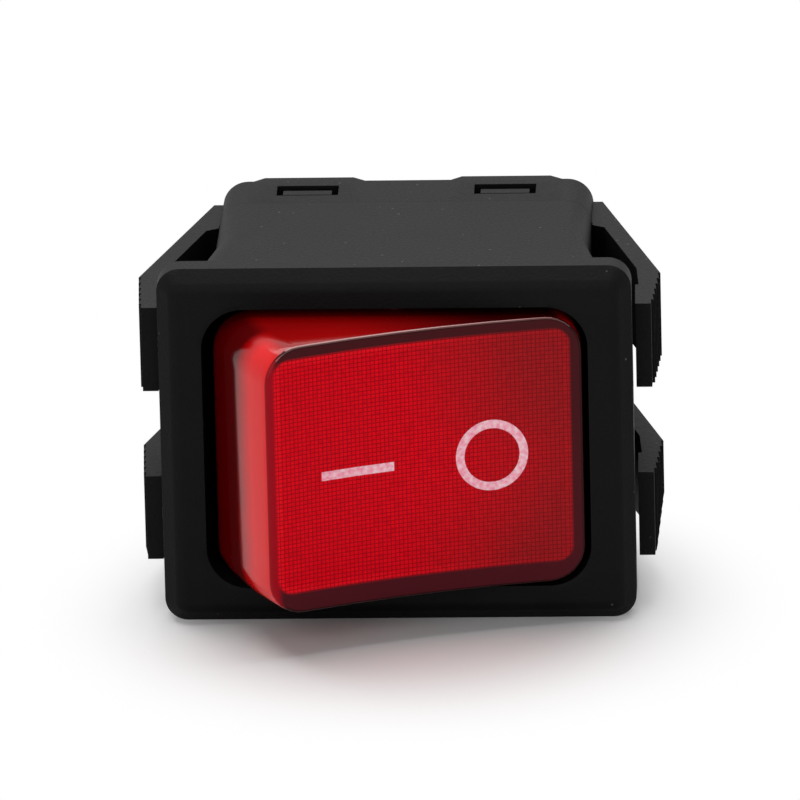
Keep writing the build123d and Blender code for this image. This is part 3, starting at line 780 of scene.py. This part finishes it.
def layOnFace(mark):
    # Pushes a flat mark onto the dished face, then gives the ink its thickness
    mark.data.transform(rockerPlace)
    pick(mark)
    addModifier(
        mark, "SHRINKWRAP", target=lensCap, wrap_method="NEAREST_SURFACEPOINT", wrap_mode="OUTSIDE_SURFACE",
        offset=marks["ink"] / 2,
    )
    addModifier(mark, "SOLIDIFY", thickness=marks["ink"], offset=1.0)
    mark.data.materials.append(printedInk)
    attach(mark, "rocker")


def makeRing():
    bpy.ops.mesh.primitive_circle_add(
        vertices=marks["ringPoints"], radius=marks["ringOuter"], fill_type="NGON",
        location=(marks["ringCentre"], faceDepth(marks["ringCentre"]), 0), rotation=(math.pi / 2, 0, 0),
    )
    ring = bpy.context.object
    ring.name = ring.data.name = "printedRing"
    bpy.ops.object.transform_apply(location=True, rotation=True, scale=True)
    bpy.ops.object.mode_set(mode="EDIT")
    bpy.ops.mesh.select_all(action="SELECT")
    bpy.ops.mesh.inset(thickness=marks["ringOuter"] - marks["ringInner"])
    bpy.ops.mesh.delete(type="FACE")
    bpy.ops.object.mode_set(mode="OBJECT")
    layOnFace(ring)


def makeBar():
    bpy.ops.mesh.primitive_plane_add(
        size=1, location=(marks["barCentre"], faceDepth(marks["barCentre"]), 0),
        rotation=(math.pi / 2, 0, 0),
    )
    bar = bpy.context.object
    bar.name = bar.data.name = "printedBar"
    bpy.ops.transform.resize(value=(marks["barLength"], 1, marks["barWidth"]))
    bpy.ops.object.transform_apply(location=True, rotation=True, scale=True)
    bpy.ops.object.mode_set(mode="EDIT")
    bpy.ops.mesh.select_all(action="SELECT")
    bpy.ops.mesh.subdivide(number_cuts=marks["barCuts"])
    bpy.ops.object.mode_set(mode="OBJECT")
    layOnFace(bar)


makeRing()
makeBar()
print("marks printed")


# Stage: pale floor, soft light from above, camera at the photo's angle

stage = {
    "floorSize": 3.0,
    "floorZ": -12.76 * mm,
    "floorColour": "#f7f7f7",
    "whiteFrom": 16.5 * mm,       # the floor turns to plain white between these distances
    "whiteTo": 31 * mm,
    "worldAmbient": 0.175,
    "keyPower": 7.8,
    "keySize": 0.85,
    "keyPlace": (-0.06, 0.3, 0.71),
    "fillPower": 7.3,
    "fillSize": 1.4,
    "fillPlace": (-0.25, -1.25, 0.45),
}


def makeFloor():
    deselect()
    bpy.ops.mesh.primitive_plane_add(size=stage["floorSize"], location=(0, 0, stage["floorZ"]))
    floor = bpy.context.object
    floor.name = "studioFloor"
    bpy.ops.object.transform_apply(location=True, rotation=True, scale=True)
    # Painted board, matt white, kept just under clipping so that the shadow shows
    material, tree, shader = newMaterial("Matt white board")
    place = objectPlace(tree)
    bump = addNode(
        tree, "ShaderNodeBump", {"Strength": 0.05, "Distance": 0.01 * mm},
        {"Height": addNoise(tree, place, 0.6)},
    )
    tree.links.new(bump.outputs["Normal"], shader.inputs["Normal"])
    shader.inputs["Base Color"].default_value = linear(stage["floorColour"])
    shader.inputs["Roughness"].default_value = 0.9
    shader.inputs["Specular IOR Level"].default_value = 0.1
    # Away from the object the board is seen as plain white, as on a lit table
    away = addNode(tree, "ShaderNodeVectorMath", {"operation": "LENGTH"}, {0: place})
    clear = addRange(
        tree, away.outputs["Value"], stage["whiteFrom"], stage["whiteTo"], curve="SMOOTHSTEP",
    )
    path, seen = directlySeen(tree)
    share = addMath(tree, "MULTIPLY", clear, seen)
    white = addNode(tree, "ShaderNodeEmission", {"Color": (1, 1, 1, 1), "Strength": 1.0})
    both = addNode(
        tree, "ShaderNodeMixShader",
        links={0: share, 1: shader.outputs["BSDF"], 2: white.outputs["Emission"]},
    )
    # From below the board is open, so that the underside can be looked at
    side = addNode(tree, "ShaderNodeNewGeometry")
    below = addMath(tree, "MULTIPLY", side.outputs["Backfacing"], path.outputs["Is Camera Ray"])
    openBoard = addNode(tree, "ShaderNodeBsdfTransparent")
    board = addNode(
        tree, "ShaderNodeMixShader",
        links={0: below, 1: both.outputs["Shader"], 2: openBoard.outputs["BSDF"]},
    )
    output = next(node for node in tree.nodes if node.type == "OUTPUT_MATERIAL")
    tree.links.new(board.outputs["Shader"], output.inputs["Surface"])
    floor.data.materials.append(material)


def makeWorld():
    world = bpy.data.worlds.new("studio")
    bpy.context.scene.world = world
    world.use_nodes = True
    tree = world.node_tree
    tree.nodes.clear()
    seen = directlySeen(tree)[1]
    strength = addRange(tree, seen, 0.0, 1.0, stage["worldAmbient"], 1.0)
    background = addNode(
        tree, "ShaderNodeBackground", {"Color": (1, 1, 1, 1)}, {"Strength": strength},
    )
    addNode(tree, "ShaderNodeOutputWorld", links={"Surface": background.outputs["Background"]})


def areaLight(name, power, size, place, aim):
    light = bpy.data.lights.new(name, "AREA")
    light.energy = power
    light.shape = "SQUARE"
    light.size = size
    lamp = bpy.data.objects.new(name, light)
    bpy.context.scene.collection.objects.link(lamp)
    lamp.location = place
    lamp.rotation_euler = (Vector(aim) - Vector(place)).to_track_quat("-Z", "Y").to_euler()


makeFloor()
makeWorld()
areaLight("overheadSoftbox", stage["keyPower"], stage["keySize"], stage["keyPlace"], (0, 0.01, 0))
areaLight("frontFill", stage["fillPower"], stage["fillSize"], stage["fillPlace"], (0, 0, 0))

shot = {
    "elevation": 19.0,
    "azimuth": 2.75,
    "roll": 1.39,
    "distance": 1.0,
    "pixelsPerMm": 14.55,
    "originAt": (398.1, 435.1),    # pixel of the frame's origin, from the top left
    "framePixels": 800,
    "sensorMm": 36,
    "clip": (0.05, 20),
}


def makeCamera():
    lift, side, roll = (math.radians(shot[k]) for k in ("elevation", "azimuth", "roll"))
    out = Vector((math.sin(side) * math.cos(lift), -math.cos(side) * math.cos(lift), math.sin(lift)))
    right = Vector((math.cos(side), math.sin(side), 0))
    up = out.cross(right)
    rolledRight = right * math.cos(roll) - up * math.sin(roll)
    rolledUp = right * math.sin(roll) + up * math.cos(roll)
    data = bpy.data.cameras.new("photoCamera")
    data.sensor_width = shot["sensorMm"]
    data.lens = shot["pixelsPerMm"] * shot["distance"] / mm / shot["framePixels"] * shot["sensorMm"]
    camera = bpy.data.objects.new("photoCamera", data)
    bpy.context.scene.collection.objects.link(camera)
    middle = shot["framePixels"] / 2
    offset = (
        rolledRight * ((middle - shot["originAt"][0]) / shot["pixelsPerMm"] * mm)
        + rolledUp * ((shot["originAt"][1] - middle) / shot["pixelsPerMm"] * mm)
    )
    basis = Matrix((rolledRight, rolledUp, out)).transposed().to_4x4()
    camera.matrix_world = Matrix.Translation(out * shot["distance"] + offset) @ basis
    data.clip_start, data.clip_end = shot["clip"]
    bpy.context.scene.camera = camera


makeCamera()
bpy.context.scene.view_settings.view_transform = "Standard"
print("stage set")
